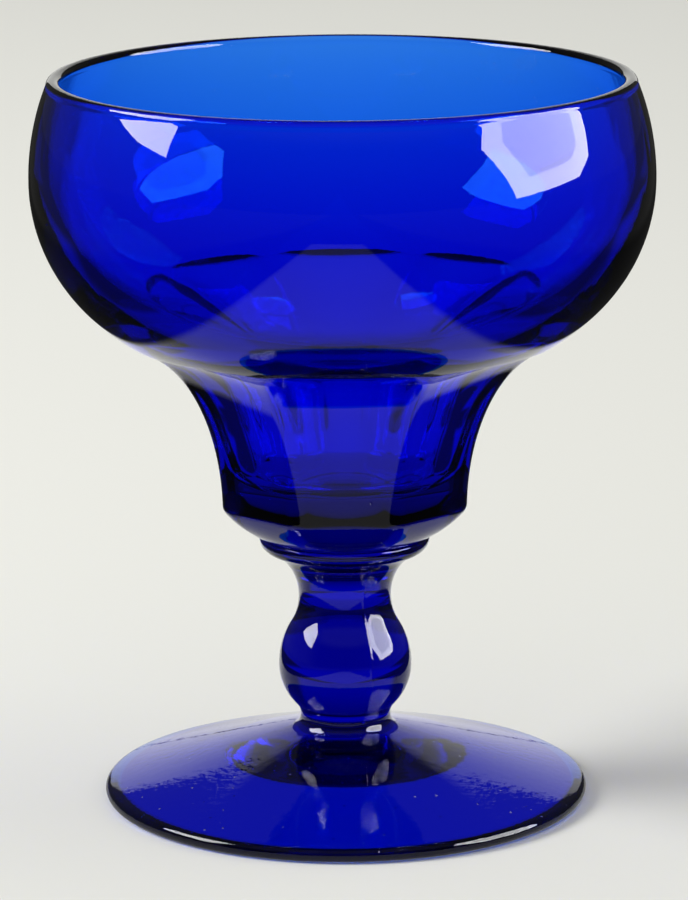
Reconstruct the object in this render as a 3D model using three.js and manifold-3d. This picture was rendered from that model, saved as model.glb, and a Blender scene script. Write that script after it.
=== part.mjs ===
// A stemmed sherbet glass in cobalt blue: a wide pressed bowl whose lower half is cut into eight
// flat flared panels, a thin collar, a baluster stem with one knop, and a domed foot.
// Four gathers of hot glass are joined end to end on one axis. Millimetres, +Z up, and the origin
// is on the table under the middle of the foot. One panel faces -Y.
import * as THREE from 'three';
import { mergeVertices } from 'three/addons/utils/BufferGeometryUtils.js';
import Module from 'manifold-3d';

// Foot: a low cone with a round edge, hollow underneath, standing on a narrow flat ring.
const foot_radius = 39.8;
const foot_edge_thickness = 2.4;
const foot_height = 13.3;
const foot_wall = 2.9;
const foot_ring_width = 1.9;
const foot_hollow_roof_radius = 19.5;
const foot_fillet = 2.3;
const foot_roof_crown = 0.35;
const foot_roof_blend = 1.2;

// Stem: a waist on the foot, one knop, a neck, and a flare that carries the collar.
const stem_length = 27.7;
const waist_radius = 7.4;
const knop_radius = 10.95;
const knop_height = 8.7;
const knop_lower_arc = 9.4;
const knop_upper_arc = 13.0;
const neck_radius = 7.6;
const neck_height = 20.3;

// Collar: a thin disc, flat on top and rounded below.
const collar_radius = 14.0;
const collar_thickness = 2.9;
const collar_edge = 0.45;
const collar_rounding = 2.45;

// Bowl, outside. Two quarter ellipses meet at the belly's widest: the lower one runs down behind the
// panels' tops, and the upper one is cut off by the brim before it closes.
const bowl_base_radius = 13.7;
const belly_radius = 50.5;
const belly_centre_radius = 17.0;
const belly_lower_height = 30.85;
const belly_below_panels = 5.2;
const belly_upper_height = 37.2;
const brim_rise = 16.6;
const lip_thickness = 2.3;

// Bowl, the eight panels: each is flat across and flares upwards like a trumpet.
const panel_count = 8;
const ledge_height = 5.7;
const ledge_apothem = 19.85;
const ledge_bulge = 1.1;
const ledge_rounding = 0.8;
const panel_taper = 0.01;
const flare_reach = 15.3;
const flare_rise = 27.75;
const cusp_drop = 1.15;

// Bowl, inside: a thin wall that follows the belly, a thicker rounded floor, and a narrower well down
// the middle. The walls are measured to the outside next to them, so the cavity follows when the
// outside changes.
const belly_wall = 2.9;
const inner_turn_rise = 2.0;
const rounded_floor_wall = 5.5;
const rounded_floor_turn = 64;
const shoulder_softness = 7.0;
const well_top_height = 22.6;
const well_top_wall = 5.35;
const well_corner_height = 4.0;
const well_corner_wall = 5.05;
const well_floor_flat = 6.0;
const base_thickness = 9.1;

// How fast the octagon turns into a circle below the ledge: 1 is evenly.
const rounding_pace = 0.8;

// How far a shape that trims another runs past it, and how close two corners are when they are one.
const overrun = 15.0;
const weld = 1e-5;

// Fineness of the facets.
const bowl_sides = 64;
const stem_sides = 40;
const foot_sides = 64;
const panel_steps = 5;

const cobalt_glass = (name) => {
  const material = new THREE.MeshStandardMaterial({ color: 0x0a1fc0, roughness: 0.04, metalness: 0 });
  material.name = name;
  material.transparent = true;
  material.opacity = 0.55;
  return material;
};

// Points on an ellipse's arc, in degrees, from its first end to its last.
function arc(centre_r, centre_z, reach_r, reach_z, from, to, steps) {
  const points = [];
  for (let i = 0; i <= steps; i += 1) {
    const angle = THREE.MathUtils.degToRad(from + ((to - from) * i) / steps);
    const r = centre_r + reach_r * Math.cos(angle);
    const z = centre_z + reach_z * Math.sin(angle);
    points.push(new THREE.Vector2(r, z));
  }
  return points;
}

// A profile of (radius, height) points turned round the upright axis.
function turned(points, sides) {
  const distinct = points.filter((p, i) => i === 0 || p.distanceTo(points[i - 1]) > weld);
  const geometry = new THREE.LatheGeometry(distinct, sides);
  geometry.rotateX(Math.PI / 2);
  return geometry;
}

const wasm = await Module();
wasm.setup();

function toSolid(geometry) {
  const bare = geometry.clone();
  bare.deleteAttribute('normal');
  bare.deleteAttribute('uv');
  const merged = mergeVertices(bare, weld);
  return new wasm.Manifold(new wasm.Mesh({
    numProp: 3,
    vertProperties: new Float32Array(merged.attributes.position.array),
    triVerts: new Uint32Array(merged.index.array),
  }));
}

function toGeometry(solid) {
  const mesh = solid.getMesh();
  const geometry = new THREE.BufferGeometry();
  geometry.setAttribute('position', new THREE.BufferAttribute(mesh.vertProperties, 3));
  geometry.setIndex(new THREE.BufferAttribute(mesh.triVerts, 1));
  geometry.computeVertexNormals();
  return geometry;
}

function makeFoot() {
  const edge = foot_edge_thickness / 2;
  const edge_r = foot_radius - edge;
  const fillet_r = waist_radius + foot_fillet;
  // The cone's top is the line that touches the fillet from below and the round edge from above.
  const run = edge_r - fillet_r;
  const drop = foot_height - edge;
  const slope = Math.atan2(drop, run) - Math.asin((edge + foot_fillet) / Math.hypot(run, drop));
  const slope_degrees = THREE.MathUtils.radToDeg(slope);
  const fillet = arc(fillet_r, foot_height, foot_fillet, foot_fillet, 270 - slope_degrees, 180, 6);
  const rim = arc(edge_r, edge, edge, edge, -90, 90 - slope_degrees, 8);
  // The hollow under the foot keeps the wall even until its flat roof.
  const ring_r = edge_r - foot_ring_width;
  const top_over_ring = edge + edge / Math.cos(slope) + foot_ring_width * Math.tan(slope);
  const hollow_foot_z = Math.max(top_over_ring - foot_wall / Math.cos(slope), 0);
  const roof_z = hollow_foot_z + (ring_r - foot_hollow_roof_radius) * Math.tan(slope);
  const roof_edge = new THREE.Vector2(foot_hollow_roof_radius - foot_roof_blend, roof_z);
  const roof = new THREE.QuadraticBezierCurve(
    new THREE.Vector2(0, roof_z + foot_roof_crown),
    new THREE.Vector2(roof_edge.x / 2, roof_z + foot_roof_crown),
    roof_edge,
  );
  const roof_turn = new THREE.QuadraticBezierCurve(
    roof_edge,
    new THREE.Vector2(foot_hollow_roof_radius, roof_z),
    new THREE.Vector2(foot_hollow_roof_radius + foot_roof_blend, roof_z - foot_roof_blend * Math.tan(slope)),
  );
  return turned([
    ...roof.getPoints(4),
    ...roof_turn.getPoints(3).slice(1),
    new THREE.Vector2(ring_r, 0),
    ...rim,
    ...fillet,
    new THREE.Vector2(0, foot_height),
  ], foot_sides);
}

// A hollow arc that starts upright at the neck's radius and runs smoothly into a bulging arc.
function hollowArcRadius(neck, bulge_radius, bulge_arc, height_between) {
  const offset = neck - (bulge_radius - bulge_arc);
  return (height_between ** 2 + offset ** 2 - bulge_arc ** 2) / (2 * (bulge_arc - offset));
}

const neck_arc = hollowArcRadius(neck_radius, knop_radius, knop_upper_arc, neck_height - knop_height);
const flare_run = Math.sqrt(neck_arc ** 2 - (stem_length - neck_height) ** 2);
const stem_top_radius = neck_radius + neck_arc - flare_run;

function makeStem() {
  const waist_arc = hollowArcRadius(waist_radius, knop_radius, knop_lower_arc, knop_height);
  const waist_centre = waist_radius + waist_arc;
  const lower_centre = knop_radius - knop_lower_arc;
  const upper_centre = knop_radius - knop_upper_arc;
  const neck_centre = neck_radius + neck_arc;
  const degrees = THREE.MathUtils.radToDeg;
  const lower_turn = degrees(Math.atan2(knop_height, waist_centre - lower_centre));
  const upper_turn = degrees(Math.atan2(neck_height - knop_height, neck_centre - upper_centre));
  const flare_turn = degrees(Math.asin((stem_length - neck_height) / neck_arc));
  const profile = [
    new THREE.Vector2(0, 0),
    ...arc(waist_centre, 0, waist_arc, waist_arc, 180, 180 - lower_turn, 4),
    ...arc(lower_centre, knop_height, knop_lower_arc, knop_lower_arc, -lower_turn, 0, 6).slice(1),
    ...arc(upper_centre, knop_height, knop_upper_arc, knop_upper_arc, 0, upper_turn, 6).slice(1),
    ...arc(neck_centre, neck_height, neck_arc, neck_arc, 180 + upper_turn, 180 - flare_turn, 9).slice(1),
    new THREE.Vector2(0, stem_length),
  ];
  return turned(profile, stem_sides);
}

function makeCollar() {
  const rounding_height = collar_thickness - collar_edge;
  const profile = [
    new THREE.Vector2(0, 0),
    new THREE.Vector2(Math.min(stem_top_radius, collar_radius - collar_rounding), 0),
    ...arc(collar_radius - collar_rounding, rounding_height, collar_rounding, rounding_height, -90, 0, 8),
    ...arc(collar_radius - collar_edge, rounding_height, collar_edge, collar_edge, 0, 90, 3),
    new THREE.Vector2(0, collar_thickness),
  ];
  return turned(profile, stem_sides);
}

// Heights above the collar that follow from the sizes.
const panel_top_height = ledge_height + flare_rise;
const belly_height = panel_top_height - belly_below_panels + belly_lower_height;
const bowl_height = belly_height + brim_rise;

// How far a panel stands from the axis, at a height above the ledge.
function panelApothem(up) {
  const share = Math.min(Math.max(up / flare_rise, 0), 1);
  return ledge_apothem + panel_taper * up + flare_reach * (1 - Math.sqrt(1 - share ** 2));
}

// The panelled form: rings of an octagon that flares upwards, and that eases into a circle below
// the ledge. It is carried out past the belly, so all that it cuts off the bowl is the panels.
function makePanelForm() {
  const corner = 1 / Math.cos(Math.PI / panel_count);
  const rings = [];
  // Below the ledge the line bulges a little, square to its own direction.
  const from = new THREE.Vector2(bowl_base_radius, 0);
  const to = new THREE.Vector2(ledge_apothem * corner, ledge_height);
  const along = to.clone().sub(from).normalize();
  const bulge = new THREE.Vector2(along.y, -along.x).multiplyScalar(ledge_bulge);
  const middle = from.clone().add(to).multiplyScalar(0.5).add(bulge);
  const under = new THREE.QuadraticBezierCurve(from, middle, to);
  const under_part = 1 - ledge_rounding / under.getLength();
  const under_steps = 5;
  for (let i = 0; i <= under_steps; i += 1) {
    const share = i / under_steps;
    const point = under.getPoint(under_part * share);
    const roundness = 1 - share ** rounding_pace;
    rings.push({ apothem: point.x / corner, circle: point.x, height: point.y, roundness });
  }
  const above_ledge = new THREE.Vector2(to.x + panel_taper * ledge_rounding, ledge_height + ledge_rounding);
  const ledge = new THREE.QuadraticBezierCurve(under.getPoint(under_part), to, above_ledge);
  ledge.getPoints(3).slice(1).forEach((point) => {
    rings.push({ apothem: point.x / corner, circle: 0, height: point.y, roundness: 0 });
  });
  const flare_steps = 14;
  for (let i = 1; i <= flare_steps; i += 1) {
    const up = flare_rise * Math.sin((Math.PI / 2) * (i / flare_steps));
    rings.push({ apothem: panelApothem(up), circle: 0, height: ledge_height + up, roundness: 0 });
  }
  // The flare ends level, and goes on level past the belly.
  const clear = belly_radius + overrun;
  rings.push({ apothem: clear, circle: 0, height: panel_top_height, roundness: 0 });
  rings.push({ apothem: clear, circle: 0, height: bowl_height + overrun, roundness: 0 });

  const around = panel_count * panel_steps;
  const positions = [];
  rings.forEach((ring) => {
    for (let k = 0; k < around; k += 1) {
      const side = Math.floor(k / panel_steps);
      const share = (k % panel_steps) / panel_steps;
      // Angles run from -Y, so that one panel faces -Y.
      const facing = -Math.PI / 2 + (side * 2 * Math.PI) / panel_count;
      const half_width = ring.apothem * Math.tan(Math.PI / panel_count);
      const across = half_width * (2 * share - 1);
      const x = ring.apothem * Math.cos(facing) - across * Math.sin(facing);
      const y = ring.apothem * Math.sin(facing) + across * Math.cos(facing);
      const scale = (1 - ring.roundness) + (ring.roundness * ring.circle) / Math.hypot(x, y);
      positions.push(x * scale, y * scale, ring.height);
    }
  });
  const bottom = positions.length / 3;
  positions.push(0, 0, rings[0].height);
  const top = bottom + 1;
  positions.push(0, 0, rings[rings.length - 1].height);
  const index = [];
  const last = (rings.length - 1) * around;
  for (let k = 0; k < around; k += 1) {
    const next = (k + 1) % around;
    for (let ring = 0; ring < last; ring += around) {
      index.push(ring + k, ring + next, ring + around + next);
      index.push(ring + k, ring + around + next, ring + around + k);
    }
    index.push(bottom, next, k);
    index.push(top, last + k, last + next);
  }
  const geometry = new THREE.BufferGeometry();
  geometry.setAttribute('position', new THREE.Float32BufferAttribute(positions, 3));
  geometry.setIndex(index);
  return geometry;
}

function makeBowl() {
  const belly_reach = belly_radius - belly_centre_radius;
  const degrees = THREE.MathUtils.radToDeg;
  // The belly starts a little below the panels' tops, where the ridges between them run into it.
  const cusp_turn = -degrees(Math.asin(1 - (belly_below_panels - cusp_drop) / belly_lower_height));
  const lip = lip_thickness / 2;
  const lip_turn = degrees(Math.asin((brim_rise - lip) / belly_upper_height));
  const below_belly = arc(belly_centre_radius, belly_height, belly_reach, belly_lower_height, cusp_turn, 0, 12);
  const above_belly = arc(belly_centre_radius, belly_height, belly_reach, belly_upper_height, 0, lip_turn, 6);
  const lip_outer = above_belly[above_belly.length - 1].x;
  const lip_roll = arc(lip_outer - lip, bowl_height - lip, lip, lip, 0, 180, 6);
  // Inside: the wall from the lip to the belly, the rounded floor, a shoulder, the well and its floor.
  // It is widest a little above the belly's widest, so the wall thickens evenly downwards.
  const inner_height = belly_height + inner_turn_rise;
  const inner_reach = belly_reach - belly_wall;
  const inner_turn = Math.acos((lip_outer - lip_thickness - belly_centre_radius) / inner_reach);
  const inner_rise = (brim_rise - lip - inner_turn_rise) / Math.sin(inner_turn);
  const inner_drop = belly_lower_height + inner_turn_rise - rounded_floor_wall;
  const wall = arc(belly_centre_radius, inner_height, inner_reach, inner_rise, degrees(inner_turn), 0, 4);
  const rounded = arc(belly_centre_radius, inner_height, inner_reach, inner_drop, 0, -rounded_floor_turn, 9);
  const brink = rounded[rounded.length - 1];
  const heading = brink.clone().sub(rounded[rounded.length - 2]).normalize();
  const well_top_radius = panelApothem(well_top_height - ledge_height) - well_top_wall;
  const well_top = new THREE.Vector2(well_top_radius, well_top_height);
  const well_bottom_height = base_thickness + well_corner_height;
  const well_bottom_radius = panelApothem(well_bottom_height - ledge_height) - well_corner_wall;
  const well_bottom = new THREE.Vector2(well_bottom_radius, well_bottom_height);
  const well_wall = well_top.clone().sub(well_bottom).normalize();
  const shoulder = new THREE.CubicBezierCurve(
    brink,
    brink.clone().addScaledVector(heading, shoulder_softness),
    well_top.clone().addScaledVector(well_wall, shoulder_softness),
    well_top,
  ).getPoints(8).slice(1);
  // The well's wall and its floor, carried on, meet at this corner, and the curve fits inside it.
  const floor_drop = well_corner_height / well_wall.y;
  const well_corner = well_bottom.clone().addScaledVector(well_wall, -floor_drop);
  const well_floor = new THREE.QuadraticBezierCurve(
    well_bottom,
    well_corner,
    new THREE.Vector2(well_floor_flat, base_thickness),
  ).getPoints(6);
  const blank = turned([
    new THREE.Vector2(0, -overrun),
    new THREE.Vector2(below_belly[0].x, -overrun),
    ...below_belly,
    ...above_belly,
    ...lip_roll,
    ...wall,
    ...rounded,
    ...shoulder,
    ...well_floor,
    new THREE.Vector2(0, base_thickness),
  ], bowl_sides);
  return toGeometry(toSolid(blank).intersect(toSolid(makePanelForm())));
}

const glass = new THREE.Group();

function place(name, geometry, height) {
  const mesh = new THREE.Mesh(geometry, cobalt_glass(name));
  mesh.name = name;
  mesh.position.z = height;
  glass.add(mesh);
}

place('foot', makeFoot(), 0);
place('stem', makeStem(), foot_height);
place('collar', makeCollar(), foot_height + stem_length);
place('bowl', makeBowl(), foot_height + stem_length + collar_thickness);

export default glass;
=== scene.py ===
import math

import bpy
import numpy as np
from mathutils import Matrix, Vector


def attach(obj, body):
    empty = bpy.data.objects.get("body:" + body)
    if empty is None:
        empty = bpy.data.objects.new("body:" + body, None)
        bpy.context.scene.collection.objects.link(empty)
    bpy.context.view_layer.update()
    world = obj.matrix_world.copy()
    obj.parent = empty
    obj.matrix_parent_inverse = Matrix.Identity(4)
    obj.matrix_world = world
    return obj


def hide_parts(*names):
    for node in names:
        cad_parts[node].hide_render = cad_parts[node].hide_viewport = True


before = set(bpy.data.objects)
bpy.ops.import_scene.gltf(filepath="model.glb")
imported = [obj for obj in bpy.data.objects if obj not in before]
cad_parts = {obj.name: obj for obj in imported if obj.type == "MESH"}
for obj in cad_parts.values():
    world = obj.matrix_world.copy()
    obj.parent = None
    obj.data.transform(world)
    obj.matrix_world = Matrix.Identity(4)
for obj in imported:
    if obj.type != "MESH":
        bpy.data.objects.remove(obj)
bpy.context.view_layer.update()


# The camera: a long lens a little above the rim, turned a touch to the left of the front panel
# and not quite level, as a hand-levelled tripod leaves it.
CAMERA_LENS = 124.56
CAMERA_SENSOR_HEIGHT = 24.0
CAMERA_DISTANCE = 0.7426
CAMERA_HEIGHT = 0.2315
CAMERA_PITCH = 76.84
CAMERA_TURN = -0.8
CAMERA_ROLL = -0.34

camera_data = bpy.data.cameras.new("camera")
camera_data.lens = CAMERA_LENS
camera_data.sensor_fit = "VERTICAL"
camera_data.sensor_height = CAMERA_SENSOR_HEIGHT
camera = bpy.data.objects.new("camera", camera_data)
bpy.context.collection.objects.link(camera)
camera.matrix_world = (
    Matrix.Rotation(math.radians(CAMERA_TURN), 4, "Z")
    @ Matrix.Translation((0.0, -CAMERA_DISTANCE, CAMERA_HEIGHT))
    @ Matrix.Rotation(math.radians(CAMERA_PITCH), 4, "X")
    @ Matrix.Rotation(math.radians(CAMERA_ROLL), 4, "Z")
)
bpy.context.scene.camera = camera


# The foot: a gather of cobalt glass pressed into a low dome with a round edge. It is hollow
# underneath and stands on a narrow flat ring. The stem is joined hot on its top.
MM = 0.001
FOOT_RADIUS = 39.8
FOOT_EDGE_THICKNESS = 2.4
FOOT_HEIGHT = 13.3
FOOT_WALL = 2.9
FOOT_RING_WIDTH = 1.9
FOOT_ROOF_RADIUS = 19.5
FOOT_ROOF_CROWN = 0.35
FOOT_ROOF_BLEND = 1.2
FOOT_FILLET = 2.3
FOOT_SIDES = 256
WAIST_RADIUS = 7.4
# Half the gap left between two pieces where they are joined: too thin to see.
JOINT_GAP = 0.005
# A flat joint is drawn in this many rings.
JOINT_RINGS = 4


def arc(centre, reach, start, end, steps):
    """Points on an ellipse's arc, from one angle in degrees to another."""
    turn = np.radians(np.linspace(start, end, steps + 1))
    return np.stack([centre[0] + reach[0] * np.cos(turn), centre[1] + reach[1] * np.sin(turn)], 1)


def bezier(points, steps):
    """Points on a Bezier curve with three or four handles."""
    t = np.linspace(0, 1, steps + 1)[:, None]
    points = [np.asarray(p, float)[None] for p in points]
    while len(points) > 1:
        points = [(1 - t) * a + t * b for a, b in zip(points, points[1:])]
    return points[0]


def walked(line):
    """How far along a line each of its points lies."""
    return np.concatenate([[0], np.cumsum(np.hypot(*np.diff(line, axis=0).T))])


def spaced(line, steps):
    """The same line, with its points evenly spaced."""
    far = walked(line)
    at = np.linspace(0, far[-1], steps + 1)
    return np.stack([np.interp(at, far, line[:, 0]), np.interp(at, far, line[:, 1])], 1)


def straight(start, end, steps):
    """Evenly spaced points on the straight line between two points."""
    return spaced(np.array([start, end], float), steps)


def run_on(*lines):
    """Lines that follow each other, without the points that they share."""
    joined = [lines[0]]
    for line in lines[1:]:
        joined.append(line[1:])
    return np.concatenate(joined)


def glass_body(name, angles, lines, height, joint_below, joint_above):
    """A closed body of glass from one line of (radius, height) for each angle, in millimetres.

    Each line starts and ends on the axis. The faces of the first joint_below rows and of the last
    joint_above rows are where the glass runs on into the next piece."""
    columns, rows = lines.shape[:2]
    rings = lines[:, 1:-1]
    x = rings[..., 0] * np.cos(angles)[:, None]
    y = rings[..., 0] * np.sin(angles)[:, None]
    z = rings[..., 1] + height
    points = np.stack([x, y, z], -1).reshape(-1, 3)
    below, above = len(points), len(points) + 1
    ends = [(0, 0, lines[0, 0, 1] + height), (0, 0, lines[0, -1, 1] + height)]
    points = np.concatenate([points, ends]) * MM
    ring_count = rows - 2
    last = ring_count - 1
    faces, joined = [], []
    for k in range(columns):
        here, beside = k * ring_count, (k + 1) % columns * ring_count
        faces.append((below, beside, here))
        joined.append(joint_below > 0)
        for row in range(last):
            faces.append((here + row, beside + row, beside + row + 1, here + row + 1))
            joined.append(row + 1 < joint_below or row + 2 > rows - 1 - joint_above)
        faces.append((here + last, beside + last, above))
        joined.append(joint_above > 0)
    mesh = bpy.data.meshes.new(name)
    mesh.from_pydata(points.tolist(), [], faces)
    mesh.update()
    mesh.shade_smooth()
    mark = mesh.attributes.new("joint", "FLOAT", "FACE")
    mark.data.foreach_set("value", np.array(joined, np.float32))
    # The disc of a joint is flat, so it doesn't share its shading with the wall beside it.
    edges = mesh.attributes.new("sharp_edge", "BOOLEAN", "EDGE")
    seen = {}
    for polygon in mesh.polygons:
        for edge in polygon.edge_keys:
            seen.setdefault(edge, []).append(joined[polygon.index])
    edges.data.foreach_set("value", [len(set(seen[edge.key])) > 1 for edge in mesh.edges])
    body = bpy.data.objects.new(name, mesh)
    bpy.context.collection.objects.link(body)
    return body


def linear(colour):
    """A colour written as sRGB hex, in the linear numbers that a shader works in."""
    parts = [int(colour[i:i + 2], 16) / 255 for i in (1, 3, 5)]
    return [p / 12.92 if p <= 0.04045 else ((p + 0.055) / 1.055) ** 2.4 for p in parts] + [1.0]


def add(tree, kind, settings=(), **inputs):
    """Adds a node with its settings, and sets or links its inputs by name or by number.

    An input that is given as a node takes the first output of that node."""
    node = tree.nodes.new("ShaderNode" + kind)
    for key, value in dict(settings).items():
        setattr(node, key, value)
    for key, value in inputs.items():
        socket = node.inputs[int(key[1:])] if key[1:].isdigit() else node.inputs[key.replace("_", " ")]
        if isinstance(value, bpy.types.Node):
            value = value.outputs[0]
        if isinstance(value, bpy.types.NodeSocket):
            tree.links.new(value, socket)
        else:
            socket.default_value = value
    return node


# Cobalt glass, pressed and then polished in the flame. A few parts of cobalt oxide take out red
# and green, so a thin wall is a bright royal blue and the thick parts are nearly black.
GLASS_IOR = 1.52
# What the glass takes from light on the way through: red most, blue hardly any.
COBALT_TINT = "#00c7fc"
COBALT_STRENGTH = 1600.0
# The flame leaves slow waves on the skin, one every 14 mm or so, and the iron mould left a fine
# grain under them that ruffles the edges of every highlight.
FLAME_WAVE = 14.0
MOULD_GRAIN = 1.6
# Seeds are air bubbles that broke at the skin, and left pits this wide and deep.
SEED_RADIUS = 0.22
SEED_DEPTH = 0.15
# The change from one value to another is soft at both ends.
SOFT = {"interpolation_type": "SMOOTHSTEP"}


def cobalt_glass(name, wave_depth, grain_depth, seed_spacing):
    """Cobalt glass with the skin of one piece, in millimetres."""
    material = bpy.data.materials.new(name)
    material.use_nodes = True
    tree = material.node_tree
    tree.nodes.clear()
    place = add(tree, "TexCoord").outputs["Object"]
    wave = add(tree, "TexNoise", {"noise_dimensions": "3D"}, Vector=place,
               Scale=1 / (FLAME_WAVE * MM), Detail=1.0, Roughness=0.4)
    grain = add(tree, "TexNoise", {"noise_dimensions": "3D"}, Vector=place,
                Scale=1 / (MOULD_GRAIN * MM), Detail=2.0, Roughness=0.5)
    seed = add(tree, "TexVoronoi", {"voronoi_dimensions": "3D", "feature": "F1"}, Vector=place,
               Scale=1 / (seed_spacing * MM))
    pit = add(tree, "MapRange", SOFT, Value=seed.outputs["Distance"], From_Min=0.0,
              From_Max=SEED_RADIUS / seed_spacing, To_Min=0.0, To_Max=1.0)
    waves = add(tree, "Bump", Height=wave, Strength=1.0, Distance=wave_depth * MM)
    grained = add(tree, "Bump", Height=grain, Strength=1.0, Distance=grain_depth * MM, Normal=waves)
    skin = add(tree, "Bump", Height=pit, Strength=1.0, Distance=SEED_DEPTH * MM, Normal=grained)
    # Where two pieces are joined the glass runs on unbroken, so light doesn't bend there.
    joint = add(tree, "Attribute", {"attribute_name": "joint"}).outputs["Fac"]
    bend = add(tree, "Math", {"operation": "MULTIPLY_ADD"}, _0=joint, _1=1 - GLASS_IOR, _2=GLASS_IOR)
    surface = add(tree, "BsdfPrincipled", Base_Color=linear("#ffffff"), Roughness=0.0, IOR=bend,
                  Transmission_Weight=1.0, Normal=skin)
    inside = add(tree, "VolumeAbsorption", Color=linear(COBALT_TINT), Density=COBALT_STRENGTH)
    add(tree, "OutputMaterial", Surface=surface, Volume=inside)
    return material


foot_edge = FOOT_EDGE_THICKNESS / 2
edge_centre = FOOT_RADIUS - foot_edge
fillet_centre = WAIST_RADIUS + FOOT_FILLET
run, drop = edge_centre - fillet_centre, FOOT_HEIGHT - foot_edge
foot_slope = math.atan2(drop, run) - math.asin((foot_edge + FOOT_FILLET) / math.hypot(run, drop))
slope_degrees, rise = math.degrees(foot_slope), math.tan(foot_slope)
ring_inside = edge_centre - FOOT_RING_WIDTH
top_over_ring = foot_edge + foot_edge / math.cos(foot_slope) + FOOT_RING_WIDTH * rise
hollow_foot = max(top_over_ring - FOOT_WALL / math.cos(foot_slope), 0)
roof = hollow_foot + (ring_inside - FOOT_ROOF_RADIUS) * rise
roof_edge = (FOOT_ROOF_RADIUS - FOOT_ROOF_BLEND, roof)
hollow_edge = (FOOT_ROOF_RADIUS + FOOT_ROOF_BLEND, roof - FOOT_ROOF_BLEND * rise)
fillet = arc((fillet_centre, FOOT_HEIGHT), (FOOT_FILLET, FOOT_FILLET), 270 - slope_degrees, 180, 14)
edge = arc((edge_centre, foot_edge), (foot_edge, foot_edge), -90, 90 - slope_degrees, 26)
fillet[-1, 1] -= JOINT_GAP
foot_line = run_on(
    bezier([(0, roof + FOOT_ROOF_CROWN), (roof_edge[0] / 2, roof + FOOT_ROOF_CROWN), roof_edge], 16),
    bezier([roof_edge, (FOOT_ROOF_RADIUS, roof), hollow_edge], 8),
    straight(hollow_edge, (ring_inside, 0), 12),
    straight((ring_inside, 0), edge[0], 3),
    edge,
    straight(edge[-1], fillet[0], 24),
    fillet,
    straight(fillet[-1], (0, FOOT_HEIGHT - JOINT_GAP), JOINT_RINGS),
)
foot_angles = np.linspace(0, 2 * math.pi, FOOT_SIDES, endpoint=False)
foot = glass_body("glass_foot", foot_angles, np.tile(foot_line, (FOOT_SIDES, 1, 1)), 0.0, 0, JOINT_RINGS)
foot.data.materials.append(
    cobalt_glass("cobalt_glass_foot", wave_depth=0.03, grain_depth=0.015, seed_spacing=2.6))
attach(foot, "root")
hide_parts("foot")


# The stem: one gather pressed into a baluster, with a waist on the foot, one knop, a neck, and
# a flare under the collar. The mould parts left a fine seam down two opposite sides.
STEM_LENGTH = 27.7
KNOP_RADIUS = 10.95
KNOP_HEIGHT = 8.7
KNOP_LOWER_ARC = 9.4
KNOP_UPPER_ARC = 13.0
NECK_RADIUS = 7.6
NECK_HEIGHT = 20.3
STEM_SIDES = 200
SEAM_ANGLE = -67.5
SEAM_HEIGHT = 0.12
SEAM_WIDTH = 0.35
# Over each seam, which is narrower than the spacing of the rest, the columns are closer. They
# reach this many degrees to each side of it, and the others keep this many radians clear of it.
SEAM_REACH = 3.0
SEAM_COLUMNS = 13
SEAM_CLEARANCE = 0.06
# The seam starts and ends this many rows of points from the rims of the joints.
SEAM_STOPS = 2
COLLAR_RADIUS = 14.0
COLLAR_ROUNDING = 2.45


def hollow_radius(neck, bulge_radius, bulge_arc, height_between):
    """The hollow arc that starts upright at a neck and runs smoothly into a bulging arc."""
    offset = neck - (bulge_radius - bulge_arc)
    return (height_between ** 2 + offset ** 2 - bulge_arc ** 2) / (2 * (bulge_arc - offset))


def off_seam(angles, seam):
    """How far round from a seam each angle is, in radians."""
    return np.abs((angles - seam + math.pi) % (2 * math.pi) - math.pi)


waist_arc = hollow_radius(WAIST_RADIUS, KNOP_RADIUS, KNOP_LOWER_ARC, KNOP_HEIGHT)
neck_arc = hollow_radius(NECK_RADIUS, KNOP_RADIUS, KNOP_UPPER_ARC, NECK_HEIGHT - KNOP_HEIGHT)
waist_centre, neck_centre = WAIST_RADIUS + waist_arc, NECK_RADIUS + neck_arc
lower_centre, upper_centre = KNOP_RADIUS - KNOP_LOWER_ARC, KNOP_RADIUS - KNOP_UPPER_ARC
lower_turn = math.degrees(math.atan2(KNOP_HEIGHT, waist_centre - lower_centre))
upper_turn = math.degrees(math.atan2(NECK_HEIGHT - KNOP_HEIGHT, neck_centre - upper_centre))
flare_turn = math.degrees(math.asin((STEM_LENGTH - NECK_HEIGHT) / neck_arc))
stem_side = run_on(
    arc((waist_centre, 0), (waist_arc, waist_arc), 180, 180 - lower_turn, 16),
    arc((lower_centre, KNOP_HEIGHT), (KNOP_LOWER_ARC, KNOP_LOWER_ARC), -lower_turn, 0, 20),
    arc((upper_centre, KNOP_HEIGHT), (KNOP_UPPER_ARC, KNOP_UPPER_ARC), 0, upper_turn, 20),
    arc((neck_centre, NECK_HEIGHT), (neck_arc, neck_arc), 180 + upper_turn, 180 - flare_turn, 36),
)
stem_side[0, 1] += JOINT_GAP
stem_side[-1, 1] -= JOINT_GAP
stem_top = STEM_LENGTH - JOINT_GAP
stem_joint = COLLAR_RADIUS - COLLAR_ROUNDING
stem_line = run_on(
    straight((0, JOINT_GAP), stem_side[0], JOINT_RINGS),
    stem_side,
    straight(stem_side[-1], (stem_joint, stem_top), 1),
    straight((stem_joint, stem_top), (0, stem_top), JOINT_RINGS),
)
even = np.radians(np.linspace(0, 360, STEM_SIDES, endpoint=False))
seam_steps = np.radians(np.linspace(-SEAM_REACH, SEAM_REACH, SEAM_COLUMNS))
seams = [math.radians(SEAM_ANGLE) % (2 * math.pi), math.radians(SEAM_ANGLE + 180) % (2 * math.pi)]
stem_angles = even
for seam in seams:
    stem_angles = stem_angles[off_seam(stem_angles, seam) > SEAM_CLEARANCE]
for seam in seams:
    stem_angles = np.concatenate([stem_angles, (seam + seam_steps) % (2 * math.pi)])
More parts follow.
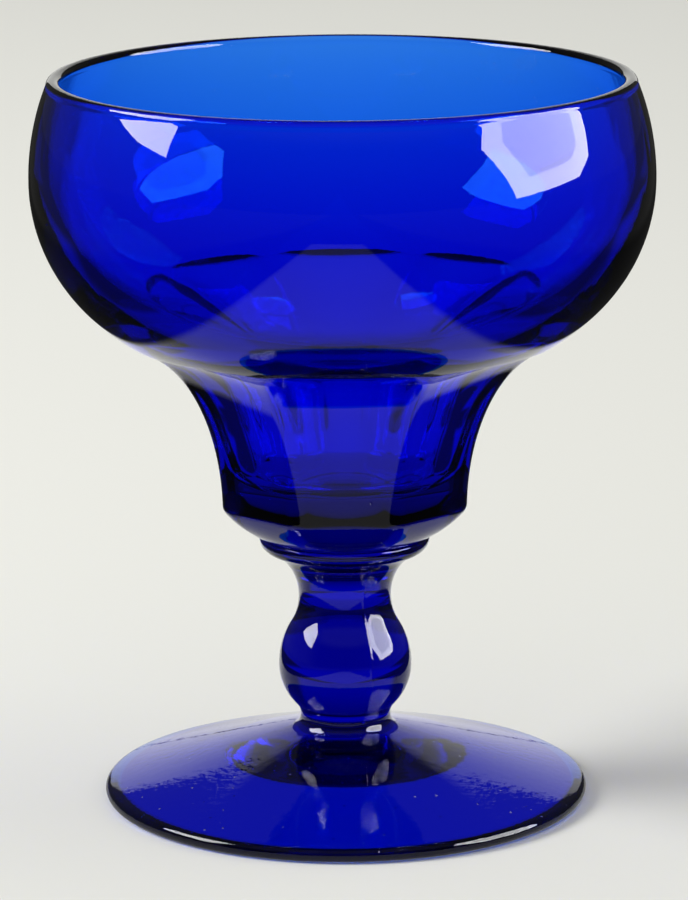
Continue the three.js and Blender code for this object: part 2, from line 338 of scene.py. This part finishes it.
stem_angles = np.sort(stem_angles)
stem_lines = np.tile(stem_line, (len(stem_angles), 1, 1))
stem_rows = np.arange(len(stem_line))
lower_rim, upper_rim = JOINT_RINGS, len(stem_line) - JOINT_RINGS - 2
on_side = (stem_rows >= lower_rim + SEAM_STOPS) & (stem_rows <= upper_rim - SEAM_STOPS)
for seam in seams:
    across = off_seam(stem_angles, seam)[:, None] * stem_line[None, :, 0]
    ridge = SEAM_HEIGHT * np.exp(-(across / SEAM_WIDTH * 2) ** 2)
    stem_lines[..., 0] += np.where(on_side[None], ridge, 0)
stem = glass_body("glass_stem", stem_angles, stem_lines, FOOT_HEIGHT, JOINT_RINGS, JOINT_RINGS)
stem.data.materials.append(
    cobalt_glass("cobalt_glass_stem", wave_depth=0.02, grain_depth=0.007, seed_spacing=12.0))
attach(stem, "root")
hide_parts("stem")


# The collar: a thin disc of the same glass between stem and bowl, flat on top and rounded
# below, pressed out by the weight of the bowl while it was soft.
COLLAR_THICKNESS = 2.9
COLLAR_EDGE = 0.45

rounding_height = COLLAR_THICKNESS - COLLAR_EDGE
collar_joint = COLLAR_RADIUS - COLLAR_EDGE
collar_top = COLLAR_THICKNESS - JOINT_GAP
collar_line = run_on(
    straight((0, JOINT_GAP), (stem_joint, JOINT_GAP), JOINT_RINGS),
    arc((stem_joint, rounding_height), (COLLAR_ROUNDING, rounding_height - JOINT_GAP), -90, 0, 16),
    arc((collar_joint, rounding_height), (COLLAR_EDGE, COLLAR_EDGE - JOINT_GAP), 0, 90, 8),
    straight((collar_joint, collar_top), (0, collar_top), JOINT_RINGS),
)
collar = glass_body("glass_collar", even, np.tile(collar_line, (STEM_SIDES, 1, 1)),
                    FOOT_HEIGHT + STEM_LENGTH, JOINT_RINGS, JOINT_RINGS)
collar.data.materials.append(
    cobalt_glass("cobalt_glass_collar", wave_depth=0.01, grain_depth=0.002, seed_spacing=12.0))
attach(collar, "root")
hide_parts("collar")


# The bowl: a wide pressed bowl with a rolled lip. Its lower half is cut into eight flat panels
# that flare like a trumpet, and each runs out in a scallop where it meets the round belly.
BOWL_BASE_RADIUS = 13.7
BELLY_RADIUS = 50.5
BELLY_CENTRE = 17.0
BELLY_LOWER_HEIGHT = 30.85
BELLY_BELOW_PANELS = 5.2
BELLY_UPPER_HEIGHT = 37.2
BRIM_RISE = 16.6
LIP_THICKNESS = 2.3
PANEL_COUNT = 8
LEDGE_HEIGHT = 5.7
LEDGE_APOTHEM = 19.85
LEDGE_BULGE = 1.1
LEDGE_ROUNDING = 0.8
PANEL_TAPER = 0.01
FLARE_REACH = 15.3
FLARE_RISE = 27.75
# How soon the round base turns into the octagon of the ledge: 1 is at an even pace.
ROUNDING_PACE = 0.8
# The flame softens every edge: the ridges between panels a lot, the crease above them a little.
RIDGE_SOFTNESS = 5.0
CREASE_SOFTNESS = 0.45
BELLY_WALL = 2.9
INNER_TURN_RISE = 2.0
FLOOR_WALL = 5.5
FLOOR_TURN = 64
SHOULDER_SOFTNESS = 7.0
WELL_TOP_HEIGHT = 22.6
WELL_TOP_WALL = 5.35
WELL_CORNER_HEIGHT = 4.0
WELL_CORNER_WALL = 5.05
WELL_FLOOR_FLAT = 6.0
BASE_THICKNESS = 9.1
# A curve that is measured before its points are spaced is first drawn in steps as fine as this.
UNDER_FINE, FLARE_FINE, BELLY_FINE = 200, 720, 400
# Each panel has a column every 2 degrees, and closer ones towards its ridges, where the wall
# turns fastest. The angles are in degrees off its middle.
EVEN_COLUMNS = np.linspace(-14, 14, 15)
RIDGE_COLUMNS = np.linspace(15, 21.75, 10)
RIDGE = 180 / PANEL_COUNT

panel_top = LEDGE_HEIGHT + FLARE_RISE
belly_height = panel_top - BELLY_BELOW_PANELS + BELLY_LOWER_HEIGHT
bowl_height = belly_height + BRIM_RISE
belly_reach = BELLY_RADIUS - BELLY_CENTRE
half_panel = math.pi / PANEL_COUNT
corner = 1 / math.cos(half_panel)


def apothem_at(up):
    """How far a panel stands from the axis, at a height above the ledge."""
    share = min(max(up / FLARE_RISE, 0), 1)
    return LEDGE_APOTHEM + PANEL_TAPER * up + FLARE_REACH * (1 - math.sqrt(1 - share ** 2))


def octagon(apothem, off):
    """How far an octagon with softened corners is from the axis, off its panel's middle."""
    from_corner = half_panel - abs(off)
    centre = (apothem - RIDGE_SOFTNESS) / math.cos(half_panel)
    flat = (apothem - RIDGE_SOFTNESS) * math.tan(half_panel)
    if apothem * math.tan(abs(off)) <= flat:
        return apothem / math.cos(off)
    away = centre * math.sin(from_corner)
    return centre * math.cos(from_corner) + math.sqrt(RIDGE_SOFTNESS ** 2 - away ** 2)


base = np.array((BOWL_BASE_RADIUS, 0.0))
ledge = np.array((LEDGE_APOTHEM * corner, LEDGE_HEIGHT))
along = (ledge - base) / np.hypot(*(ledge - base))
middle = (base + ledge) / 2 + LEDGE_BULGE * np.array((along[1], -along[0]))
under = bezier([base, middle, ledge], UNDER_FINE)
under_end = int(round(UNDER_FINE * (1 - LEDGE_ROUNDING / walked(under)[-1])))
under_side = spaced(under[:under_end + 1], 12)
above_ledge = (ledge[0] + PANEL_TAPER * LEDGE_ROUNDING, LEDGE_HEIGHT + LEDGE_ROUNDING)
ledge_side = bezier([under_side[-1], ledge, above_ledge], 6)

# The wall above the panels, and the whole inside, are the same all round.
lip = LIP_THICKNESS / 2
lip_turn = math.degrees(math.asin((BRIM_RISE - lip) / BELLY_UPPER_HEIGHT))
belly_above = arc((BELLY_CENTRE, belly_height), (belly_reach, BELLY_UPPER_HEIGHT), 0, lip_turn, 28)
lip_outer = belly_above[-1, 0]
lip_roll = arc((lip_outer - lip, bowl_height - lip), (lip, lip), 0, 180, 20)
inner_reach = belly_reach - BELLY_WALL
inner_turn = math.acos((lip_outer - LIP_THICKNESS - BELLY_CENTRE) / inner_reach)
inner_rise = (BRIM_RISE - lip - INNER_TURN_RISE) / math.sin(inner_turn)
inner_drop = BELLY_LOWER_HEIGHT + INNER_TURN_RISE - FLOOR_WALL
inner_middle = (BELLY_CENTRE, belly_height + INNER_TURN_RISE)
wall = arc(inner_middle, (inner_reach, inner_rise), math.degrees(inner_turn), 0, 20)
floor = arc(inner_middle, (inner_reach, inner_drop), 0, -FLOOR_TURN, 40)
brink, heading = floor[-1], (floor[-1] - floor[-2]) / np.hypot(*(floor[-1] - floor[-2]))
well_top = np.array((apothem_at(WELL_TOP_HEIGHT - LEDGE_HEIGHT) - WELL_TOP_WALL, WELL_TOP_HEIGHT))
well_low = BASE_THICKNESS + WELL_CORNER_HEIGHT
well_bottom = np.array((apothem_at(well_low - LEDGE_HEIGHT) - WELL_CORNER_WALL, well_low))
well_wall = (well_top - well_bottom) / np.hypot(*(well_top - well_bottom))
shoulder = bezier([brink, brink + heading * SHOULDER_SOFTNESS,
                   well_top + well_wall * SHOULDER_SOFTNESS, well_top], 24)
well_corner = well_bottom - well_wall * WELL_CORNER_HEIGHT / well_wall[1]
well_floor = bezier([well_bottom, well_corner, (WELL_FLOOR_FLAT, BASE_THICKNESS)], 18)
inside = run_on(
    lip_roll,
    wall,
    floor,
    shoulder,
    straight(well_top, well_bottom, 8),
    well_floor,
    straight(well_floor[-1], (0, BASE_THICKNESS), 5),
)


def belly_radius_at(height):
    """How far the round belly's lower half is from the axis, at a height."""
    share = np.clip((belly_height - height) / BELLY_LOWER_HEIGHT, 0, 1)
    return BELLY_CENTRE + belly_reach * np.sqrt(1 - share ** 2)


def point_at(line, far):
    """The point that lies this far along a line."""
    return [np.interp(far, walked(line), line[:, i]) for i in (0, 1)]


def bowl_line(off):
    """The bowl's section at an angle off the middle of its panel, from axis to axis."""
    low = [(BOWL_BASE_RADIUS, JOINT_GAP)]
    for i, (r, z) in enumerate(under_side[1:], 1):
        roundness = 1 - (i / (len(under_side) - 1)) ** ROUNDING_PACE
        low.append((octagon(r / corner, off) * (1 - roundness) + r * roundness, z))
    for r, z in ledge_side[1:]:
        low.append((octagon(r / corner, off), z))
    low = np.array(low)
    up = FLARE_RISE * np.sin(np.linspace(0, math.pi / 2, FLARE_FINE + 1))
    flare = np.array([(octagon(apothem_at(u), off), LEDGE_HEIGHT + u) for u in up])
    flare = flare[flare[:, 1] > above_ledge[1]]
    # The flare ends level, and goes on level until it is outside the belly.
    flare = np.concatenate([low[-1:], flare, [(BELLY_RADIUS, panel_top)]])
    met = np.nonzero(flare[:, 0] < belly_radius_at(flare[:, 1]))[0][-1] + 1
    # Between the last point inside the belly and the first one outside it, they cross.
    gap = flare[met - 1:met + 1, 0] - belly_radius_at(flare[met - 1:met + 1, 1])
    share = -gap[0] / (gap[1] - gap[0])
    cross = flare[met - 1] + (flare[met] - flare[met - 1]) * share
    panel = np.concatenate([flare[:met], [cross]])
    cross_turn = -math.degrees(math.asin((belly_height - cross[1]) / BELLY_LOWER_HEIGHT))
    belly = arc((BELLY_CENTRE, belly_height), (belly_reach, BELLY_LOWER_HEIGHT), cross_turn, 0, BELLY_FINE)
    belly[0] = cross
    panel_length = walked(panel)[-1]
    panel_end = point_at(panel, panel_length - CREASE_SOFTNESS)
    belly_start = point_at(belly, CREASE_SOFTNESS)
    below_crease = panel[walked(panel) < panel_length - CREASE_SOFTNESS]
    above_crease = belly[walked(belly) > CREASE_SOFTNESS]
    return run_on(
        straight((0, JOINT_GAP), (collar_joint, JOINT_GAP), JOINT_RINGS),
        straight((collar_joint, JOINT_GAP), low[0], 1),
        low,
        spaced(np.concatenate([below_crease, [panel_end]]), 60),
        bezier([panel_end, cross, belly_start], 6),
        spaced(np.concatenate([[belly_start], above_crease]), 44),
        belly_above,
        inside,
    )


offs = np.radians(np.concatenate([[-RIDGE], -RIDGE_COLUMNS[::-1], EVEN_COLUMNS, RIDGE_COLUMNS]))
section = {round(abs(off), 9): bowl_line(abs(off)) for off in offs}
bowl_angles, bowl_lines = [], []
for panel_number in range(PANEL_COUNT):
    facing = -math.pi / 2 + panel_number * 2 * half_panel
    for off in offs:
        bowl_angles.append(facing + off)
        bowl_lines.append(section[round(abs(off), 9)])
bowl = glass_body("glass_bowl", np.array(bowl_angles), np.array(bowl_lines),
                  FOOT_HEIGHT + STEM_LENGTH + COLLAR_THICKNESS, JOINT_RINGS, 0)
bowl.data.materials.append(
    cobalt_glass("cobalt_glass_bowl", wave_depth=0.03, grain_depth=0.002, seed_spacing=14.0))
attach(bowl, "root")
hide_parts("bowl")


# The table: a flat sheet of matt off-white card that runs on out of view. The camera sees it as matt card.
# What the glass mirrors and shows through it is painted on the card as a glow: a painted lit strip that
# the camera looks along and the glass stands on, and painted shade beside it where black flags would keep
# the light off, which the glass shows as the dark bands down its sides.
CARD_REACH = 3.0
CARD_UNDER_FOOT = 0.0001
# Matt card scatters light evenly, so it has no gloss and shows soft shadows.
CARD = "#e9e9e2"
# The colour of the light and shade painted on the card as a glow that only the glass's rays see.
LIT_CARD = "#fafaf6"
# Painted shadow: under the foot the card is lit only through blue glass, so for the glass's rays it glows
# this dark blue there instead of its own colour.
PAINTED_SHADOW_UNDER_FOOT = "#0c2cb2"
# The painted lit strip narrows towards the camera and leans a little. Its sizes are in metres.
STRIP_MIDDLE, STRIP_LEAN = -0.005, 0.035
STRIP_HALF_WIDTH, STRIP_WIDENING = 0.068, 0.025
STRIP_FRONT = -0.385
STRIP_BLUR, STRIP_FRONT_BLUR = 0.004, 0.006
# The light that the glass mirrors from the strip: at its front end, and beside the glass.
STRIP_FRONT_LIGHT, STRIP_LIGHT = 0.24, 0.40
# Behind the glass this much light is added to that, in full from this far back.
STRIP_ADDED_LIGHT, STRIP_FULL = 0.6, 0.09
# The painted light that it mirrors from the flagged card, where shade is painted, and from the card past
# the flags.
FLAGGED_LIGHT, PAST_FLAGS_LIGHT = 0.02, 0.045
FLAG_FADES, FLAG_ENDS = 0.2, 0.26
# The painted light that shows through the glass from the flagged card and the strip near it.
FLAGGED_THROUGH, STRIP_THROUGH = 0.14, 0.64
# From this far behind the glass the painted strip opens out between two sides with painted shade.
OPEN_FROM, OPEN_BLUR = 0.13, 0.03
OPEN_MIDDLE, OPEN_HALF_WIDTH, OPEN_EDGE_BLUR = 0.015, 0.15, 0.02
SHADED_THROUGH, OPEN_THROUGH = 0.13, 0.95
# Further back, card with painted light at this share of the open card's light lies beside it.
HALF_LIT, HALF_LIT_FADES, HALF_LIT_ENDS = 0.3, 0.22, 0.26
HALF_LIT_FROM, HALF_LIT_FULL = 0.3, 0.36

card_mesh = bpy.data.meshes.new("card")
card_mesh.from_pydata(
    [(-CARD_REACH, -CARD_REACH, 0), (CARD_REACH, -CARD_REACH, 0),
     (CARD_REACH, CARD_REACH, 0), (-CARD_REACH, CARD_REACH, 0)], [], [(0, 1, 2, 3)])
card = bpy.data.objects.new("card", card_mesh)
bpy.context.collection.objects.link(card)
card.location.z = -CARD_UNDER_FOOT

matt_card_with_painted_light = bpy.data.materials.new("matt_card_with_painted_light")
matt_card_with_painted_light.use_nodes = True
tree = matt_card_with_painted_light.node_tree
tree.nodes.clear()
place = add(tree, "TexCoord").outputs["Object"]
parts = add(tree, "SeparateXYZ", Vector=place).outputs
x, y = parts["X"], parts["Y"]
# Where the strip lies: its middle and its width change with the way back from the camera.
strip_middle = add(tree, "Math", {"operation": "MULTIPLY_ADD"}, _0=y, _1=STRIP_LEAN, _2=STRIP_MIDDLE)
off_middle = add(tree, "Math", {"operation": "SUBTRACT"}, _0=x, _1=strip_middle)
from_middle = add(tree, "Math", {"operation": "ABSOLUTE"}, _0=off_middle)
half_width = add(tree, "Math", {"operation": "MULTIPLY_ADD"}, _0=y, _1=STRIP_WIDENING,
                 _2=STRIP_HALF_WIDTH)
from_edge = add(tree, "Math", {"operation": "SUBTRACT"}, _0=from_middle, _1=half_width)
on_strip = add(tree, "MapRange", SOFT, Value=from_edge, From_Min=-STRIP_BLUR, From_Max=STRIP_BLUR,
               To_Min=1.0, To_Max=0.0)
# What the glass mirrors: painted light of the strip as it is lit from the camera's side.
past_front = add(tree, "MapRange", SOFT, Value=y, From_Min=STRIP_FRONT - STRIP_FRONT_BLUR,
                 From_Max=STRIP_FRONT + STRIP_FRONT_BLUR, To_Min=0.0, To_Max=1.0)
front_light = add(tree, "MapRange", SOFT, Value=y, From_Min=STRIP_FRONT, From_Max=0.0,
                  To_Min=STRIP_FRONT_LIGHT, To_Max=STRIP_LIGHT)
added_light = add(tree, "MapRange", SOFT, Value=y, From_Min=0.0, From_Max=STRIP_FULL,
                  To_Min=0.0, To_Max=STRIP_ADDED_LIGHT)
strip_light = add(tree, "Math", {"operation": "ADD"}, _0=front_light, _1=added_light)
off_axis = add(tree, "Math", {"operation": "ABSOLUTE"}, _0=x)
beside = add(tree, "MapRange", SOFT, Value=off_axis, From_Min=FLAG_FADES, From_Max=FLAG_ENDS,
             To_Min=FLAGGED_LIGHT, To_Max=PAST_FLAGS_LIGHT)
in_strip = add(tree, "Math", {"operation": "MULTIPLY"}, _0=on_strip, _1=past_front)
mirrored = add(tree, "Mix", Factor=in_strip, A=beside, B=strip_light)
# What shows through the glass: painted light of the strip as it is lit from behind, and of the open card
# beyond it.
off_opening = add(tree, "Math", {"operation": "SUBTRACT"}, _0=x, _1=OPEN_MIDDLE)
from_opening = add(tree, "Math", {"operation": "ABSOLUTE"}, _0=off_opening)
near = add(tree, "Mix", Factor=on_strip, A=FLAGGED_THROUGH, B=STRIP_THROUGH)
in_opening = add(tree, "MapRange", SOFT, Value=from_opening, From_Min=OPEN_HALF_WIDTH - OPEN_EDGE_BLUR,
                 From_Max=OPEN_HALF_WIDTH + OPEN_EDGE_BLUR, To_Min=1.0, To_Max=0.0)
half_lit_side = add(tree, "MapRange", SOFT, Value=from_opening, From_Min=HALF_LIT_FADES,
                    From_Max=HALF_LIT_ENDS, To_Min=HALF_LIT, To_Max=0.0)
half_lit_back = add(tree, "MapRange", SOFT, Value=y, From_Min=HALF_LIT_FROM, From_Max=HALF_LIT_FULL,
                    To_Min=0.0, To_Max=1.0)
half_lit = add(tree, "Math", {"operation": "MULTIPLY"}, _0=half_lit_side, _1=half_lit_back)
lit_beyond = add(tree, "Math", {"operation": "MAXIMUM"}, _0=in_opening, _1=half_lit)
far = add(tree, "Mix", Factor=lit_beyond, A=SHADED_THROUGH, B=OPEN_THROUGH)
opened = add(tree, "MapRange", SOFT, Value=y, From_Min=OPEN_FROM - OPEN_BLUR,
             From_Max=OPEN_FROM + OPEN_BLUR, To_Min=0.0, To_Max=1.0)
through = add(tree, "Mix", Factor=opened, A=near, B=far)
ray = add(tree, "LightPath").outputs
level = add(tree, "Mix", Factor=ray["Is Transmission Ray"], A=mirrored, B=through)
# Painted light: for the glass's rays the card glows with the painted strip and the painted shade of the
# flags.
painted_card_light = add(tree, "Emission", Color=linear(LIT_CARD), Strength=level)
# Painted shadow under the foot: a dark blue glow on the card inside the foot's ring.
painted_foot_shadow = add(tree, "Emission", Color=linear(PAINTED_SHADOW_UNDER_FOOT), Strength=1.0)
from_axis = add(tree, "VectorMath", {"operation": "LENGTH"}, Vector=place).outputs["Value"]
in_painted_foot_shadow = add(tree, "Math", {"operation": "LESS_THAN"}, _0=from_axis, _1=ring_inside * MM)
seen_by_glass = add(tree, "MixShader", _0=in_painted_foot_shadow, _1=painted_card_light, _2=painted_foot_shadow)
matt = add(tree, "BsdfDiffuse", Color=linear(CARD))
by_glass = add(tree, "Math", {"operation": "MAXIMUM"}, _0=ray["Is Glossy Ray"],
               _1=ray["Is Transmission Ray"])
either = add(tree, "MixShader", _0=by_glass, _1=matt, _2=seen_by_glass)
add(tree, "OutputMaterial", Surface=either)
card_mesh.materials.append(matt_card_with_painted_light)


# The studio round it: an even white tent that lights the card. Through the glass and in its skin
# show the lit sheet behind it, the dark flags at its sides and the dark room behind the camera.
TENT = "#ffffff"
TENT_LEVEL = 0.51
BACKDROP = "#e5e5db"
LIT_SHEET = "#fafaf6"
# The sheet as the glass mirrors it, in degrees from behind the glass to the right and up. Its
# left side leans out, and it fades to its top. It is brightest low down.
SHEET_RIGHT, SHEET_LEFT, SHEET_LEAN, SHEET_BLUR = 16.4, -12.4, -0.06, 0.3
SHEET_FADES, SHEET_TOP = 33, 39
SHEET_LOW, SHEET_HIGH, SHEET_LOW_LIGHT, SHEET_HIGH_LIGHT = 2, 36, 0.95, 0.52
# The room round it is nearly black. Behind the camera it is blackest low down and palest high up.
ROOM_LIGHT, ROOM_FADES, BACK_STARTS = 0.06, 100, 135
BACK_LOW, BACK_HIGH, BACK_LOW_LIGHT, BACK_HIGH_LIGHT = 25, 38, 0.012, 0.09
# The sheet as it shows through the glass is wider, and the flags beside it are paler.
WIDE_SHEET_FADES, WIDE_SHEET_ENDS, FLAGS_THROUGH = 31, 40, 0.16
THROUGH_LOW, THROUGH_HIGH, THROUGH_LOW_LIGHT, THROUGH_HIGH_LIGHT = -8, 40, 0.78, 0.28

world = bpy.data.worlds.new("tent")
bpy.context.scene.world = world
world.use_nodes = True
tree = world.node_tree
tree.nodes.clear()
direction = add(tree, "TexCoord").outputs["Generated"]
parts = add(tree, "SeparateXYZ", Vector=direction).outputs
turn = add(tree, "Math", {"operation": "ARCTAN2"}, _0=parts["X"], _1=parts["Y"])
azimuth = add(tree, "Math", {"operation": "MULTIPLY"}, _0=turn, _1=180 / math.pi)
tilt = add(tree, "Math", {"operation": "ARCSINE"}, _0=parts["Z"])
elevation = add(tree, "Math", {"operation": "MULTIPLY"}, _0=tilt, _1=180 / math.pi)
off_axis = add(tree, "Math", {"operation": "ABSOLUTE"}, _0=azimuth)
# What the glass mirrors.
left_side = add(tree, "Math", {"operation": "MULTIPLY_ADD"}, _0=elevation, _1=SHEET_LEAN, _2=SHEET_LEFT)
past_left = add(tree, "Math", {"operation": "SUBTRACT"}, _0=left_side, _1=azimuth)
past_right = add(tree, "Math", {"operation": "SUBTRACT"}, _0=azimuth, _1=SHEET_RIGHT)
off_sheet = add(tree, "Math", {"operation": "MAXIMUM"}, _0=past_right, _1=past_left)
across_sheet = add(tree, "MapRange", SOFT, Value=off_sheet, From_Min=-SHEET_BLUR, From_Max=SHEET_BLUR,
                   To_Min=1.0, To_Max=0.0)
up_sheet = add(tree, "MapRange", SOFT, Value=elevation, From_Min=SHEET_FADES, From_Max=SHEET_TOP,
               To_Min=1.0, To_Max=0.0)
on_sheet = add(tree, "Math", {"operation": "MULTIPLY"}, _0=across_sheet, _1=up_sheet)
sheet_light = add(tree, "MapRange", SOFT, Value=elevation, From_Min=SHEET_LOW, From_Max=SHEET_HIGH,
                  To_Min=SHEET_LOW_LIGHT, To_Max=SHEET_HIGH_LIGHT)
behind_camera = add(tree, "MapRange", SOFT, Value=elevation, From_Min=BACK_LOW, From_Max=BACK_HIGH,
                    To_Min=BACK_LOW_LIGHT, To_Max=BACK_HIGH_LIGHT)
room = add(tree, "MapRange", SOFT, Value=off_axis, From_Min=ROOM_FADES, From_Max=BACK_STARTS,
           To_Min=ROOM_LIGHT, To_Max=behind_camera)
mirrored = add(tree, "Mix", Factor=on_sheet, A=room, B=sheet_light)
# What shows through the glass.
wide_sheet = add(tree, "MapRange", SOFT, Value=off_axis, From_Min=WIDE_SHEET_FADES,
                 From_Max=WIDE_SHEET_ENDS, To_Min=1.0, To_Max=0.0)
sheet_through = add(tree, "MapRange", SOFT, Value=elevation, From_Min=THROUGH_LOW,
                    From_Max=THROUGH_HIGH, To_Min=THROUGH_LOW_LIGHT, To_Max=THROUGH_HIGH_LIGHT)
through = add(tree, "Mix", Factor=wide_sheet, A=FLAGS_THROUGH, B=sheet_through)
ray = add(tree, "LightPath").outputs
level = add(tree, "Mix", Factor=ray["Is Transmission Ray"], A=mirrored, B=through)
tent = add(tree, "Background", Color=linear(TENT), Strength=TENT_LEVEL)
backdrop = add(tree, "Background", Color=linear(BACKDROP), Strength=1.0)
surroundings = add(tree, "Background", Color=linear(LIT_SHEET), Strength=level)
by_glass = add(tree, "Math", {"operation": "MAXIMUM"}, _0=ray["Is Glossy Ray"],
               _1=ray["Is Transmission Ray"])
seen = add(tree, "MixShader", _0=by_glass, _1=tent, _2=surroundings)
shown = add(tree, "MixShader", _0=ray["Is Camera Ray"], _1=seen, _2=backdrop)
add(tree, "OutputWorld", Surface=shown)


# Two soft boxes, to the left and right of the glass: the white shapes under its lip. Each is
# white cloth lit from behind, and the right one's cloth is darker inside its rim.
SOFT_BOX_DISTANCE = 0.85
SOFT_BOX_AIM = Vector((0.0, 0.0, 0.1))
SOFT_BOX_LIGHT = 11.0
SHADED_CLOTH_LIGHT = 7.5
# The rim is this share of the way in to the middle.
RIM_SHARE, RIM_BLUR = 0.33, 0.02
CLOTH = "#ffffff"


def towards(azimuth, elevation):
    """The direction at these angles in degrees, from behind the glass round to the right, and up."""
    a, e = math.radians(azimuth), math.radians(elevation)
    return Vector((math.sin(a) * math.cos(e), math.cos(a) * math.cos(e), math.sin(e)))


def soft_box(name, corner_angles, middle_light):
    """A soft box whose corners lie at these angles, (azimuth, elevation), seen from the glass."""
    corners = [SOFT_BOX_AIM + towards(*angles) * SOFT_BOX_DISTANCE for angles in corner_angles]
    count = len(corners)
    middle = sum(corners, Vector()) / count
    mesh = bpy.data.meshes.new(name)
    mesh.from_pydata([list(point) for point in corners + [middle]], [],
                     [(i, (i + 1) % count, count) for i in range(count)])
    outward = mesh.attributes.new("outward", "FLOAT", "POINT")
    outward.data.foreach_set("value", [1.0] * count + [0.0])
    # Lit cloth is an even white glow.
    cloth = bpy.data.materials.new(name + "_cloth")
    cloth.use_nodes = True
    tree = cloth.node_tree
    tree.nodes.clear()
    from_middle = add(tree, "Attribute", {"attribute_name": "outward"}).outputs["Fac"]
    light = add(tree, "MapRange", SOFT, Value=from_middle, From_Min=1 - RIM_SHARE - RIM_BLUR,
                From_Max=1 - RIM_SHARE + RIM_BLUR, To_Min=middle_light, To_Max=SOFT_BOX_LIGHT)
    glow = add(tree, "Emission", Color=linear(CLOTH), Strength=light)
    add(tree, "OutputMaterial", Surface=glow)
    mesh.materials.append(cloth)
    box = bpy.data.objects.new(name, mesh)
    bpy.context.collection.objects.link(box)
    box.visible_camera = box.visible_diffuse = box.visible_shadow = False


soft_box("soft_box_right", [(117, -0.5), (88, 1.5), (81.5, 5.8), (77, 18), (74, 33), (105, 42),
                            (120, 37), (128, 20)], SHADED_CLOTH_LIGHT)
soft_box("soft_box_left", [(-112.2, 14.5), (-98, 16.4), (-88, 19), (-76, 22), (-70, 30),
                           (-69, 38.5), (-99, 47), (-111.5, 45), (-112.3, 25)], SOFT_BOX_LIGHT)


# Two round lamps further off light the card alone, the left one far more than the right. They
# give it its even light, and the glass its soft shadow.
CARD_LAMP_DISTANCE = 2.0


def card_lamp(name, azimuth, elevation, size, watts):
    """A round lamp that looks at the glass from this direction, and doesn't show in it."""
    data = bpy.data.lights.new(name, "AREA")
    data.shape = "DISK"
    data.size = size
    data.energy = watts
    lamp = bpy.data.objects.new(name, data)
    bpy.context.collection.objects.link(lamp)
    away = towards(azimuth, elevation)
    lamp.location = away * CARD_LAMP_DISTANCE
    lamp.rotation_euler = away.to_track_quat("Z", "Y").to_euler()
    lamp.visible_camera = lamp.visible_glossy = lamp.visible_transmission = False


card_lamp("lamp_left", -97, 36, size=0.9, watts=32.0)
card_lamp("lamp_right", 80, 50, size=1.2, watts=4.0)

# Light runs round inside thick glass many times before it comes out.
LIGHT_BOUNCES = 32
light_paths = bpy.context.scene.cycles
light_paths.max_bounces = light_paths.glossy_bounces = light_paths.transmission_bounces = LIGHT_BOUNCES

bpy.context.scene.view_settings.view_transform = "Standard"
